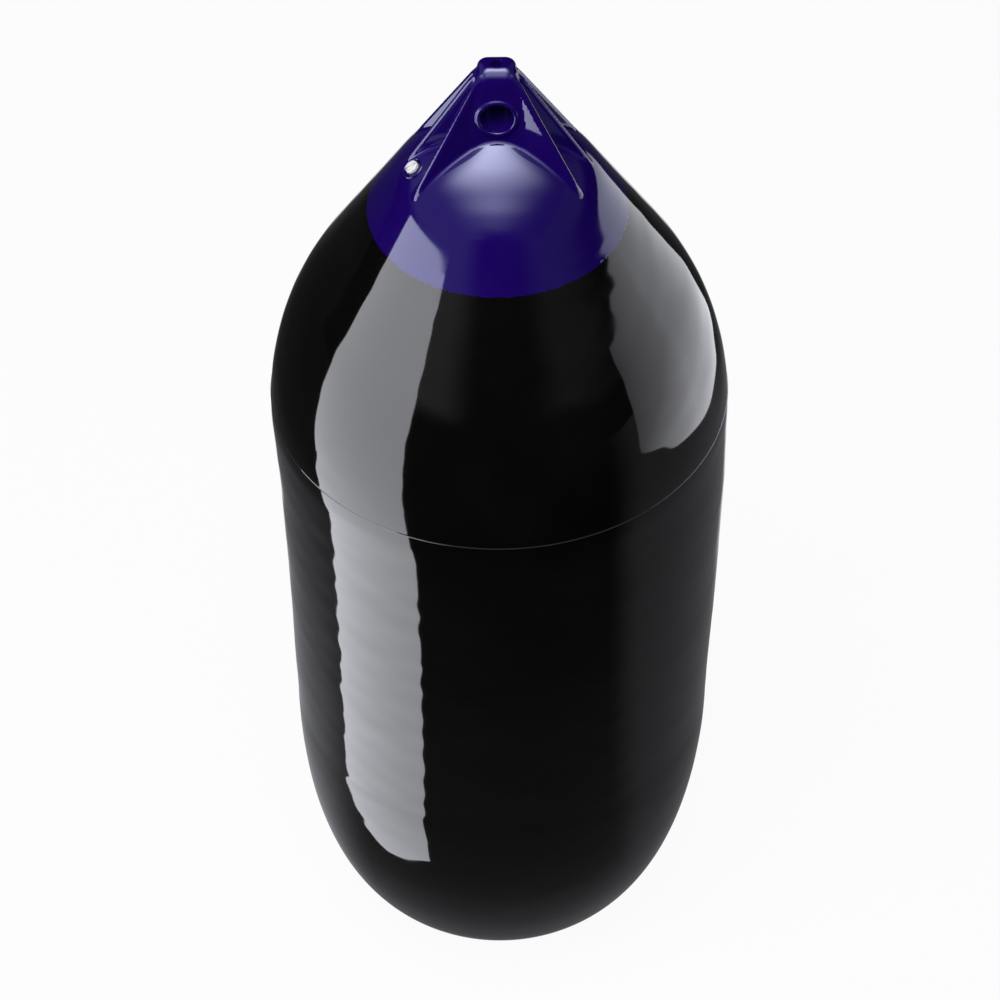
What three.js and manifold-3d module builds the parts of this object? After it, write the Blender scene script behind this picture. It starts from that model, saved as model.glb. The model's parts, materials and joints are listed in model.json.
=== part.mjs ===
// Inflatable cylindrical boat fender with a moulded ropehold at its top end.
// Millimetres, +Z up. The fender stands on the flat spot of its domed lower end,
// with the origin in the middle of that spot and the eye of the ropehold along Y.
import * as THREE from 'three';
import { mergeVertices } from 'three/addons/utils/BufferGeometryUtils.js';
import Module from 'manifold-3d';

const wasm = await Module();
wasm.setup();

const DEGREES = Math.PI / 180;

// Overall form of the inflated body
const OVERALL_LENGTH = 1270;
const GREATEST_RADIUS = 254;
const SHOULDER_ARC_RADIUS = 360;
const CONE_HALF_ANGLE = 31.1 * DEGREES;
const CONE_TOP_RADIUS = 18.24;
const WALL = 4;

// Lower end: a drafted wall that rounds into a squarish dome with a flat spot
const DOME_HEIGHT = 323;
const WALL_DRAFT = 16;
const DOME_SIDE_POWER = 4.13;
const DOME_END_POWER = 1.83;
const FLAT_SPOT_RADIUS = 75;

// Parting seam, a thin raised line round the body just above its widest place
const SEAM_ABOVE_WIDEST = 20;
const SEAM_WIDTH = 2.4;
const SEAM_RISE = 0.6;

// Ropehold: a skirt that laps the cone, a cap of two arcs, a hub with the eye, and six ribs
const SKIRT_EDGE_DROP = 201;
const ROPEHOLD_SKIN = 8;
const CAP_EDGE_RADIUS = 106;
const CAP_ROLL_RADIUS = 50;
const CAP_ROLL_SLOPE = 34 * DEGREES;
const CAP_CROWN_RADIUS = 300;
const CLEARANCE = 0.3;

// Hub: a four-sided pillar that narrows upward, with a round crown
const HUB_HALF_WIDTH = 25.4;
const HUB_HALF_DEPTH = 22;
const HUB_TAPER = 5.4 * DEGREES;
const CROWN_RADIUS = 21.5;
const CROWN_FILLET = 12;
const CROWN_RISE = 1;
const CROWN_SIDE = 12;
const CROWN_UNDERCUT = 9;
const CROWN_HOLE_RADIUS = 4.5;
const CROWN_HOLE_DEPTH = 12;

// Eye for the rope, with a rounded rim on both faces of the hub
const EYE_DROP = 56.5;
const EYE_RADIUS = 17.5;
const EYE_RIM_RADIUS = 2.6;

// Ribs: webs that run from the hub down the cap, each with a full-round edge
const RIB_AZIMUTHS = [60, 90, 120, 240, 270, 300];
const RIB_EDGE_RADIUS = 3.75;
const RIB_ROOT_HALF_THICKNESS = 8.6;
const RIB_FOOT_RADIUS = 102;
const RIB_PROUD = 1;
const RIB_TOP_DROP = 13;

// Valve, between the feet of two ribs on the left: insert, sealing washer and screw plug
const VALVE_AZIMUTH = -79 * DEGREES;
const VALVE_RADIUS = 91.5;
const VALVE_RECESS_RADIUS = 10.5;
const VALVE_RECESS_DEPTH = 2.5;
const VALVE_RECESS_DRAFT = 1;
const INSERT_RADIUS = 8;
const INSERT_RIM = 0.8;
const INSERT_COLLAR_WIDTH = 3;
const INSERT_COLLAR_THICKNESS = 1.6;
const INSERT_REACH = 4;
const PLUG_SHANK_RADIUS = 4;
const PLUG_HEAD_RADIUS = 7.5;
const PLUG_HEAD_HEIGHT = 4.4;
const PLUG_HEAD_FILLET = 1.6;
const PLUG_SHANK_LENGTH = 13.5;
const PLUG_SLOT_WIDTH = 1.8;
const PLUG_SLOT_DEPTH = 2;
const SEAL_WIDTH = 2.4;
const SEAL_THICKNESS = 1.4;

// Fineness of the round forms
const BODY_SEGMENTS = 64;
const ROUND_SEGMENTS = 32;
const SMALL_SEGMENTS = 24;
const EDGE_SEGMENTS = 16;
const RIM_SEGMENTS = 10;
const OUTER_STEPS = { dome: 15, shoulder: 7, cap: 3 };
const INNER_STEPS = { dome: 8, shoulder: 4, cap: 2 };
const CROWN_STEPS = 6;
const EDGE_STEPS = 4;

// Geometry as a manifold solid, and back again
function solid(geometry) {
  const plain = geometry.clone();
  plain.deleteAttribute('normal');
  plain.deleteAttribute('uv');
  const merged = mergeVertices(plain, 1e-4);
  return new wasm.Manifold(new wasm.Mesh({
    numProp: 3,
    vertProperties: new Float32Array(merged.attributes.position.array),
    triVerts: new Uint32Array(merged.index.array),
  }));
}

function geometryOf(manifold) {
  const { vertProperties, triVerts } = manifold.getMesh();
  const geometry = new THREE.BufferGeometry();
  geometry.setAttribute('position', new THREE.BufferAttribute(vertProperties, 3));
  geometry.setIndex(new THREE.BufferAttribute(triVerts, 1));
  geometry.computeVertexNormals();
  return geometry;
}

// Turned solid about +Z from a section of [radius, height] pairs, listed upward
function turned(section, segments) {
  const points = section.map(([radius, height]) => new THREE.Vector2(radius, height));
  return new THREE.LatheGeometry(points, segments).rotateX(Math.PI / 2);
}

// Plate that stands on the line y = 0: an outline of [x, z] pairs with a thickness along Y
function plate(outline, thickness) {
  const shape = new THREE.Shape(outline.map(([x, z]) => new THREE.Vector2(x, z)));
  return new THREE.ExtrudeGeometry(shape, { depth: thickness, bevelEnabled: false })
    .translate(0, 0, -thickness / 2)
    .rotateX(Math.PI / 2);
}

// Upright block: an outline of [x, y] pairs that rises from one height to another
function upright(outline, bottom, top) {
  const shape = new THREE.Shape(outline.map(([x, y]) => new THREE.Vector2(x, y)));
  return new THREE.ExtrudeGeometry(shape, { depth: top - bottom, bevelEnabled: false })
    .translate(0, 0, bottom);
}

// Points of an arc in the section plane, angles measured up from the horizontal
function arc(centre, radius, from, to, steps) {
  return Array.from({ length: steps + 1 }, (_, i) => {
    const angle = from + ((to - from) * i) / steps;
    return [centre[0] + radius * Math.cos(angle), centre[1] + radius * Math.sin(angle)];
  });
}

// Section line moved inward by a distance, with mitred corners; an end on the axis stays there
function inset(line, distance) {
  const normalOf = ([r0, z0], [r1, z1]) => {
    const length = Math.hypot(r1 - r0, z1 - z0);
    return [(z1 - z0) / length, (r0 - r1) / length];
  };
  const mirrored = ([r, z]) => [-r, z];
  const last = line.length - 1;
  return line.map((point, i) => {
    const onAxis = point[0] < 1e-6;
    const before = i > 0 ? line[i - 1] : onAxis ? mirrored(line[1]) : null;
    const after = i < last ? line[i + 1] : onAxis ? mirrored(line[last - 1]) : null;
    const a = before ? normalOf(before, point) : normalOf(point, after);
    const b = after ? normalOf(point, after) : a;
    const scale = distance / (1 + a[0] * b[0] + a[1] * b[1]);
    return [onAxis ? 0 : point[0] - (a[0] + b[0]) * scale, point[1] - (a[1] + b[1]) * scale];
  });
}

// Section of the fender from the top down: the cone runs into the shoulder arc, whose other end is
// upright at the widest place
const coneSlope = Math.tan(CONE_HALF_ANGLE);
const coneFootRadius = GREATEST_RADIUS - SHOULDER_ARC_RADIUS * (1 - Math.cos(CONE_HALF_ANGLE));
const coneHeight = (radius) => OVERALL_LENGTH - (radius - CONE_TOP_RADIUS) / coneSlope;
const coneRadius = (height) => CONE_TOP_RADIUS + (OVERALL_LENGTH - height) * coneSlope;
const widestHeight = coneHeight(coneFootRadius) - SHOULDER_ARC_RADIUS * Math.sin(CONE_HALF_ANGLE);
const shoulderCentre = [GREATEST_RADIUS - SHOULDER_ARC_RADIUS, widestHeight];
const seamHeight = widestHeight + SEAM_ABOVE_WIDEST;
const skirtEdgeHeight = OVERALL_LENGTH - SKIRT_EDGE_DROP;
const wallFootRadius = GREATEST_RADIUS - WALL_DRAFT;

// Cap of the ropehold: a roll tangent to the cone, then a flatter crown arc tangent to the roll
const capTurn = 90 * DEGREES - CAP_ROLL_SLOPE;
const capRoll = {
  radius: CAP_ROLL_RADIUS,
  centre: [
    CAP_EDGE_RADIUS - CAP_ROLL_RADIUS * Math.cos(CONE_HALF_ANGLE),
    coneHeight(CAP_EDGE_RADIUS) - CAP_ROLL_RADIUS * Math.sin(CONE_HALF_ANGLE),
  ],
};
const capCrown = {
  radius: CAP_CROWN_RADIUS,
  centre: [
    capRoll.centre[0] + (CAP_ROLL_RADIUS - CAP_CROWN_RADIUS) * Math.cos(capTurn),
    capRoll.centre[1] + (CAP_ROLL_RADIUS - CAP_CROWN_RADIUS) * Math.sin(capTurn),
  ],
};
const capTurnRadius = capRoll.centre[0] + CAP_ROLL_RADIUS * Math.cos(capTurn);
const capArcAt = (radius) => (radius < capTurnRadius ? capCrown : capRoll);
const capTilt = (radius) => Math.asin((radius - capArcAt(radius).centre[0]) / capArcAt(radius).radius);
const capHeight = (radius) => (
  capArcAt(radius).centre[1] + capArcAt(radius).radius * Math.cos(capTilt(radius)));

// Lower end from the flat spot to the foot of the drafted wall, as a superellipse
function domeSection(steps) {
  const points = [[0, 0]];
  for (let i = 0; i <= steps; i += 1) {
    const angle = (90 * DEGREES * (steps - i)) / steps;
    const radius = wallFootRadius * Math.cos(angle) ** (2 / DOME_SIDE_POWER);
    const height = DOME_HEIGHT * (1 - Math.sin(angle) ** (2 / DOME_END_POWER));
    if (radius > FLAT_SPOT_RADIUS) points.push([radius, height]);
  }
  const [radius, height] = points[1];
  const lift = height * (FLAT_SPOT_RADIUS / radius) ** 2;
  return [points[0], [FLAT_SPOT_RADIUS, 0], ...points.slice(1).map(([r, z]) => (
    [r, z - lift * (1 - z / DOME_HEIGHT)]))];
}

// Shoulder, with the parting seam as a thin ridge
function shoulderRadius(height) {
  return shoulderCentre[0] + Math.sqrt(SHOULDER_ARC_RADIUS ** 2 - (height - widestHeight) ** 2);
}

const seamSection = [-SEAM_WIDTH / 2, 0, SEAM_WIDTH / 2].map((offset) => (
  [shoulderRadius(seamHeight + offset) + (offset === 0 ? SEAM_RISE : 0), seamHeight + offset]));

// Stretch from the skirt's edge up the cone and over the cap to the axis
function topSection(edgeHeight, steps) {
  return [
    [coneRadius(edgeHeight), edgeHeight],
    ...arc(capRoll.centre, CAP_ROLL_RADIUS, CONE_HALF_ANGLE, capTurn, steps),
    ...arc(capCrown.centre, CAP_CROWN_RADIUS, capTurn, 90 * DEGREES - capTilt(0), steps).slice(1, -1),
    [0, capHeight(0)],
  ];
}

// Stretch from the flat spot up the wall and the shoulder to an edge on the cone
function lowerSection(edgeHeight, steps, seam) {
  const start = Math.asin((SEAM_ABOVE_WIDEST + SEAM_WIDTH / 2) / SHOULDER_ARC_RADIUS);
  const shoulder = arc(shoulderCentre, SHOULDER_ARC_RADIUS, start, CONE_HALF_ANGLE, steps.shoulder);
  return [
    ...domeSection(steps.dome),
    [GREATEST_RADIUS, widestHeight],
    ...seam,
    ...shoulder.slice(1),
    [coneRadius(edgeHeight), edgeHeight],
  ];
}

// Valve axis: normal to the cap at its place, as a matrix for cutters and pieces
function valveMatrix() {
  const tilt = capTilt(VALVE_RADIUS);
  const outward = new THREE.Vector3(Math.sin(VALVE_AZIMUTH), -Math.cos(VALVE_AZIMUTH), 0);
  const position = outward.clone().multiplyScalar(VALVE_RADIUS).setZ(capHeight(VALVE_RADIUS));
  const normal = outward.clone().multiplyScalar(Math.sin(tilt)).setZ(Math.cos(tilt));
  const turn = new THREE.Quaternion().setFromUnitVectors(new THREE.Vector3(0, 0, 1), normal);
  return new THREE.Matrix4().compose(position, turn, new THREE.Vector3(1, 1, 1));
}

// Heights along the valve axis, from the outer surface of the ropehold
const recessFloor = -VALVE_RECESS_DEPTH;
const insertTop = recessFloor + INSERT_RIM;
const insertBottom = -(ROPEHOLD_SKIN + CLEARANCE + WALL + INSERT_REACH);
const collarTop = (recessFloor - ROPEHOLD_SKIN + INSERT_COLLAR_THICKNESS) / 2;
const sealBottom = insertTop + CLEARANCE;
const plugSeat = sealBottom + SEAL_THICKNESS + CLEARANCE;
const boreRadius = PLUG_SHANK_RADIUS + CLEARANCE;

// Section of the insert's outside, grown by a distance for the seat moulded round it
function insertOutline(growth) {
  const collarBottom = collarTop - INSERT_COLLAR_THICKNESS;
  const barrel = INSERT_RADIUS + growth;
  const collar = INSERT_RADIUS + INSERT_COLLAR_WIDTH + growth;
  return [
    [0, insertBottom - growth],
    [barrel, insertBottom - growth],
    [barrel, collarBottom - growth],
    [collar, collarBottom - growth],
    [collar, collarTop + growth],
    [barrel, collarTop + growth],
    [barrel, insertTop + growth],
    [0, insertTop + growth],
  ];
}

// Body: one thin skin, let in under the skirt and closed below the cap
function bodySolid() {
  const gapAlong = CLEARANCE * Math.cos(CONE_HALF_ANGLE);
  const edgeHeight = skirtEdgeHeight - gapAlong;
  const lap = ROPEHOLD_SKIN + CLEARANCE;
  const outer = lowerSection(edgeHeight, OUTER_STEPS, seamSection);
  const top = inset(topSection(edgeHeight, OUTER_STEPS.cap), lap);
  const outside = solid(turned([...outer, ...top], BODY_SEGMENTS));
  const lower = inset(lowerSection(edgeHeight - 2 * lap, INNER_STEPS, []), WALL);
  const upper = inset(topSection(edgeHeight, INNER_STEPS.cap), lap + WALL);
  const inside = solid(turned([...lower, ...upper], BODY_SEGMENTS));
  const passage = solid(turned(insertOutline(CLEARANCE), SMALL_SEGMENTS).applyMatrix4(valveMatrix()));
  return outside.subtract(inside).subtract(passage);
}

// Skirt and cap of the ropehold as a filled form, and the space below its even skin
const skirtOutside = topSection(skirtEdgeHeight, OUTER_STEPS.cap);
const skirtInside = inset(skirtOutside, ROPEHOLD_SKIN);

function capSolid() {
  return solid(turned([[0, skirtInside[0][1]], skirtInside[0], ...skirtOutside], BODY_SEGMENTS));
}

function underCapSolid() {
  const [radius, height] = skirtInside[0];
  const below = [radius + coneSlope * ROPEHOLD_SKIN, height - ROPEHOLD_SKIN];
  return solid(turned([[0, below[1]], below, ...skirtInside.slice(1)], BODY_SEGMENTS));
}

// Hub: a front outline and a side outline, each tapered, cut into each other
const eyeHeight = OVERALL_LENGTH - EYE_DROP;
const hubTaper = Math.tan(HUB_TAPER);
const hubHalf = (halfAtEye, height) => halfAtEye + (eyeHeight - height) * hubTaper;

function hubSolid() {
  const reach = Math.hypot(HUB_HALF_WIDTH, HUB_HALF_DEPTH) + EYE_RADIUS / 2;
  const bottom = capHeight(reach) - ROPEHOLD_SKIN / 2;
  const top = OVERALL_LENGTH - CROWN_RISE - CROWN_FILLET;
  const outline = (halfAtEye) => [
    [-hubHalf(halfAtEye, bottom), bottom],
    [hubHalf(halfAtEye, bottom), bottom],
    [hubHalf(halfAtEye, top), top],
    [-hubHalf(halfAtEye, top), top],
  ];
  const front = solid(plate(outline(HUB_HALF_WIDTH), 4 * HUB_HALF_DEPTH));
  const side = solid(plate(outline(HUB_HALF_DEPTH), 4 * HUB_HALF_WIDTH).rotateZ(Math.PI / 2));
  return front.intersect(side);
}

// Round crown on the hub, with a soft edge and a faint rise to the axis
function crownSolid() {
  const shoulder = OVERALL_LENGTH - CROWN_RISE - CROWN_FILLET;
  const bottom = shoulder - CROWN_SIDE;
  return solid(turned([
    [0, bottom - CROWN_UNDERCUT],
    [CROWN_RADIUS - CROWN_UNDERCUT / 2, bottom - CROWN_UNDERCUT],
    [CROWN_RADIUS, bottom],
    ...arc([CROWN_RADIUS - CROWN_FILLET, shoulder], CROWN_FILLET, 0, 90 * DEGREES, CROWN_STEPS),
    [0, OVERALL_LENGTH],
  ], ROUND_SEGMENTS));
}

// One rib along +X: a web that thins outward, and a full-round edge along the cone
function ribSolid() {
  const edgeInset = (RIB_EDGE_RADIUS - RIB_PROUD) / Math.cos(CONE_HALF_ANGLE);
  const top = OVERALL_LENGTH - RIB_TOP_DROP;
  const head = [coneRadius(top) - edgeInset, top];
  const foot = [RIB_FOOT_RADIUS - edgeInset, coneHeight(RIB_FOOT_RADIUS)];
  const sunk = ROPEHOLD_SKIN / 2;
  const side = solid(plate([
    [0, capHeight(0) - sunk],
    [capTurnRadius, capHeight(capTurnRadius) - sunk],
    foot,
    head,
    [0, top],
  ], 4 * RIB_ROOT_HALF_THICKNESS));
  const plan = solid(upright([
    [0, -RIB_ROOT_HALF_THICKNESS],
    [RIB_FOOT_RADIUS, -RIB_EDGE_RADIUS],
    [RIB_FOOT_RADIUS, RIB_EDGE_RADIUS],
    [0, RIB_ROOT_HALF_THICKNESS],
  ], skirtEdgeHeight, OVERALL_LENGTH));
  return side.intersect(plan).add(edgeRod(foot, head));
}

// Rod with round ends between two points of the plane y = 0
function edgeRod(from, to) {
  const length = Math.hypot(to[0] - from[0], to[1] - from[1]);
  const lean = Math.atan2(to[0] - from[0], to[1] - from[1]);
  const section = [
    ...arc([0, 0], RIB_EDGE_RADIUS, -90 * DEGREES, 0, EDGE_STEPS),
    ...arc([0, length], RIB_EDGE_RADIUS, 0, 90 * DEGREES, EDGE_STEPS),
  ];
  const rod = turned(section.map(([r, z]) => [r < 1e-6 ? 0 : r, z]), EDGE_SEGMENTS);
  return solid(rod.rotateY(lean).translate(from[0], 0, from[1]));
}

// Rounded rim of the eye on one face; side is -1 in front and 1 behind
function eyeRim(side) {
  const rim = new THREE.TorusGeometry(EYE_RADIUS + EYE_RIM_RADIUS, EYE_RIM_RADIUS, RIM_SEGMENTS, ROUND_SEGMENTS)
    .rotateX(Math.PI / 2 + side * HUB_TAPER)
    .translate(0, side * HUB_HALF_DEPTH, eyeHeight);
  return solid(rim);
}

function ropeholdSolid() {
  let ropehold = capSolid().add(hubSolid()).add(crownSolid()).add(eyeRim(-1)).add(eyeRim(1));
  for (const azimuth of RIB_AZIMUTHS) {
    ropehold = ropehold.add(ribSolid().rotate([0, 0, azimuth - 90]));
  }
  const eye = new THREE.CylinderGeometry(EYE_RADIUS, EYE_RADIUS, 4 * HUB_HALF_DEPTH, ROUND_SEGMENTS)
    .translate(0, 0, eyeHeight);
  const crownHole = turned([
    [0, OVERALL_LENGTH - CROWN_HOLE_DEPTH],
    [CROWN_HOLE_RADIUS, OVERALL_LENGTH - CROWN_HOLE_DEPTH],
    [CROWN_HOLE_RADIUS, OVERALL_LENGTH + CROWN_RISE],
    [0, OVERALL_LENGTH + CROWN_RISE],
  ], SMALL_SEGMENTS);
  const recess = turned([
    [0, recessFloor],
    [VALVE_RECESS_RADIUS, recessFloor],
    [VALVE_RECESS_RADIUS + VALVE_RECESS_DRAFT, ROPEHOLD_SKIN],
    [0, ROPEHOLD_SKIN],
  ], SMALL_SEGMENTS).applyMatrix4(valveMatrix());
  const insertSeat = turned(insertOutline(CLEARANCE), SMALL_SEGMENTS).applyMatrix4(valveMatrix());
  return ropehold.subtract(underCapSolid()).subtract(solid(eye)).subtract(solid(crownHole))
    .subtract(solid(recess)).subtract(solid(insertSeat));
}

// Valve insert, moulded into the ropehold and held by its collar
function insertGeometry() {
  const outline = insertOutline(0);
  return turned([
    [boreRadius, insertBottom],
    ...outline.slice(1, -1),
    [boreRadius, insertTop],
    [boreRadius, insertBottom],
  ], SMALL_SEGMENTS);
}

function sealGeometry() {
  const outer = boreRadius + SEAL_WIDTH;
  const middle = sealBottom + SEAL_THICKNESS / 2;
  const swell = SEAL_THICKNESS / 4;
  return turned([
    [boreRadius, sealBottom],
    [outer, sealBottom],
    [outer + swell, middle],
    [outer, sealBottom + SEAL_THICKNESS],
    [boreRadius, sealBottom + SEAL_THICKNESS],
    [boreRadius, sealBottom],
  ], SMALL_SEGMENTS);
}

// Screw plug: domed head with a slot for a coin or a blade
function plugGeometry() {
  const shoulder = plugSeat + PLUG_HEAD_HEIGHT - PLUG_HEAD_FILLET;
  const tip = plugSeat - PLUG_SHANK_LENGTH;
  const chamfer = PLUG_SHANK_RADIUS / 4;
  const blank = solid(turned([
    [0, tip],
    [PLUG_SHANK_RADIUS - chamfer, tip],
    [PLUG_SHANK_RADIUS, tip + chamfer],
    [PLUG_SHANK_RADIUS, plugSeat],
    [PLUG_HEAD_RADIUS, plugSeat],
    ...arc([PLUG_HEAD_RADIUS - PLUG_HEAD_FILLET, shoulder], PLUG_HEAD_FILLET, 0, 90 * DEGREES, EDGE_STEPS),
    [0, plugSeat + PLUG_HEAD_HEIGHT],
  ], SMALL_SEGMENTS));
  const slot = new THREE.BoxGeometry(3 * PLUG_HEAD_RADIUS, PLUG_SLOT_WIDTH, 2 * PLUG_SLOT_DEPTH)
    .translate(0, 0, plugSeat + PLUG_HEAD_HEIGHT);
  return geometryOf(blank.subtract(solid(slot)));
}

const blackVinyl = new THREE.MeshStandardMaterial({ color: 0x0b0b0d, roughness: 0.12, metalness: 0 });
const blueVinyl = new THREE.MeshStandardMaterial({ color: 0x1e0a78, roughness: 0.18, metalness: 0 });
const blackRubber = new THREE.MeshStandardMaterial({ color: 0x151515, roughness: 0.6, metalness: 0 });
const whitePlastic = new THREE.MeshStandardMaterial({ color: 0xd8dadd, roughness: 0.25, metalness: 0 });
const greyPlastic = new THREE.MeshStandardMaterial({ color: 0x8a8c94, roughness: 0.35, metalness: 0 });

function piece(name, geometry, material) {
  const mesh = new THREE.Mesh(geometry, material);
  mesh.name = name;
  return mesh;
}

// The valve's pieces lie in a group of their own, whose Z axis is the valve's
function valveGroup() {
  const valve = new THREE.Group();
  valve.add(
    piece('valve_insert', insertGeometry(), greyPlastic),
    piece('valve_seal', sealGeometry(), blackRubber),
    piece('valve_plug', plugGeometry(), whitePlastic),
  );
  valveMatrix().decompose(valve.position, valve.quaternion, valve.scale);
  return valve;
}

const fender = new THREE.Group();
fender.name = 'fender';
fender.add(
  piece('body', geometryOf(bodySolid()), blackVinyl),
  piece('ropehold', geometryOf(ropeholdSolid()), blueVinyl),
  valveGroup(),
);

export default fender;
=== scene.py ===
"""Inflatable boat fender with a moulded ropehold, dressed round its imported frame.

The body is a surface of revolution with the faint ripple of a rotational moulding. The ropehold
is one moulding, so its form is a signed distance field: webs, hub, crown and cap blend with
fillets, and a dual contour turns the field into one closed mesh. The valve's screw plug carries a
real helical thread. Boards and panels round the fender stand for a photographer's flags and
softboxes. Sizes are in metres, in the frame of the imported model.
"""

import json
import logging
import math
from dataclasses import dataclass, field
from enum import Enum

import bpy
import numpy as np
from mathutils import Euler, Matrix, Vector

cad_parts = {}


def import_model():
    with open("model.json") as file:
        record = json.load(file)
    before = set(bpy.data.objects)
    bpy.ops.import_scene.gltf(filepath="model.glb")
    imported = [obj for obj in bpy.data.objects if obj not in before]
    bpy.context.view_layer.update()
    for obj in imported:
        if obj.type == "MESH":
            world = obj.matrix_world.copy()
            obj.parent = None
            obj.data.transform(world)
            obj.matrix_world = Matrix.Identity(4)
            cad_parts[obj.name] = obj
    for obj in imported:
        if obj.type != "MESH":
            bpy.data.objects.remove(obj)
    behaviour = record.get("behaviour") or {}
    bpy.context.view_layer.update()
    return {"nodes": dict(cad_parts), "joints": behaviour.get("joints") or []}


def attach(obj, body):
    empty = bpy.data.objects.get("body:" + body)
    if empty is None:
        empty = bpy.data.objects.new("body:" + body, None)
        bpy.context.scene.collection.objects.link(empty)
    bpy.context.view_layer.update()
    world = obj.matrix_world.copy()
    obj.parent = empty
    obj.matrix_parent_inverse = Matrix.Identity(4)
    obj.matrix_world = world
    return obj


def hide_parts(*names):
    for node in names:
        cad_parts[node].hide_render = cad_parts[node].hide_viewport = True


Array = np.ndarray
Socket = bpy.types.NodeSocket
Pair = tuple[float, float]
Triple = tuple[float, float, float]
LOG = logging.getLogger("fender")
BLUE = (0.0095, 0.0011, 0.098)
BLUE_WORN = (0.013, 0.004, 0.112)


class Axis(Enum):
    """The three axes of the frame, as columns of a point array."""

    X = 0
    Y = 1
    Z = 2


def put_in_scene(name: str, points: Array, faces: list, smooth_deg: float = 40.0) -> bpy.types.Object:
    """Makes a mesh object from arrays, smooth but for edges sharper than an angle.

    Args:
        name: The piece's name.
        points: Vertices, one row each, in metres.
        faces: Index arrays, one per number of corners, each with one row per face.
        smooth_deg: Angle in degrees above which an edge stays sharp.

    Returns:
        The new object, with its place in its mesh.
    """
    mesh = bpy.data.meshes.new(name)
    corners = np.concatenate([f.ravel() for f in faces]).astype(np.int32)
    totals = np.concatenate([np.full(len(f), f.shape[1]) for f in faces]).astype(np.int32)
    starts = np.concatenate([[0], np.cumsum(totals)[:-1]]).astype(np.int32)
    mesh.vertices.add(len(points))
    mesh.vertices.foreach_set("co", points.astype(np.float32).ravel())
    mesh.loops.add(len(corners))
    mesh.loops.foreach_set("vertex_index", corners)
    mesh.polygons.add(len(totals))
    mesh.polygons.foreach_set("loop_start", starts)
    mesh.polygons.foreach_set("loop_total", totals)
    mesh.polygons.foreach_set("use_smooth", np.ones(len(totals), bool))
    mesh.update(calc_edges=True)
    mesh.validate()
    mesh.set_sharp_from_angle(angle=math.radians(smooth_deg))
    obj = bpy.data.objects.new(name, mesh)
    bpy.context.scene.collection.objects.link(obj)
    return obj


def grid_faces(rows: int, columns: int, closed_rows: bool = False, closed_columns: bool = True) -> Array:
    """Quads of a grid whose rows may close on themselves, and whose last row may join the first.

    Args:
        rows: Number of rows of points.
        columns: Number of points in a row.
        closed_rows: Whether the last row joins the first one.
        closed_columns: Whether a row's last point joins its first one.

    Returns:
        One row of four indices per quad, counter-clockwise for a grid that rises with its rows.
    """
    row = np.arange(rows if closed_rows else rows - 1)[:, None]
    column = np.arange(columns if closed_columns else columns - 1)[None, :]
    right = (column + 1) % columns
    above = (row + 1) % rows
    quads = [row * columns + column, row * columns + right, above * columns + right, above * columns + column]
    return np.stack(np.broadcast_arrays(*quads), axis=-1).reshape(-1, 4)


def revolve(name: str, radius: Array, height: Array, columns: int) -> bpy.types.Object:
    """Closed surface of revolution about Z through a section that starts and ends on the axis.

    A point of the surface is (r cos a, r sin a, z), with a the angle and (r, z) the section.

    Args:
        name: The piece's name.
        radius: Section radii from the lower pole to the upper one, or a (rows, columns) array.
        height: Section heights, one per row.
        columns: Number of points round the axis.

    Returns:
        The new object.
    """
    angle = full_turn(columns)
    ring_radius = radius[1:-1] if radius.ndim == 2 else radius[1:-1, None] * np.ones(columns)
    ring_height = height[1:-1, None] * np.ones(columns)
    rings = np.stack([ring_radius * np.cos(angle), ring_radius * np.sin(angle), ring_height], axis=-1)
    rows = len(height) - 2
    poles = np.array([[0.0, 0.0, height[0]], [0.0, 0.0, height[-1]]])
    points = np.concatenate([rings.reshape(-1, 3), poles])
    here = np.arange(columns)
    after = (here + 1) % columns
    low, high = rows * columns, rows * columns + 1
    bottom = np.stack([after, here, np.full(columns, low)], axis=-1)
    last = (rows - 1) * columns
    top = np.stack([last + here, last + after, np.full(columns, high)], axis=-1)
    return put_in_scene(name, points, [grid_faces(rows, columns), np.concatenate([bottom, top])])


def full_turn(count: int) -> Array:
    """Even angles round a full turn, in radians."""
    return np.linspace(0.0, 2 * math.pi, count, endpoint=False)


def signed_degrees(turn: Array) -> Array:
    """Turns angles from 0 to a full turn, in radians, into degrees from -180 to 180."""
    return np.degrees(np.where(turn > math.pi, turn - 2 * math.pi, turn))


def smooth_step(value: Array, low: float, high: float) -> Array:
    """Rises from 0 at one limit to 1 at the other as t^2 (3 - 2t), and falls where the first is higher."""
    t = np.clip((value - low) / (high - low), 0.0, 1.0)
    return t * t * (3 - 2 * t)


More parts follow.
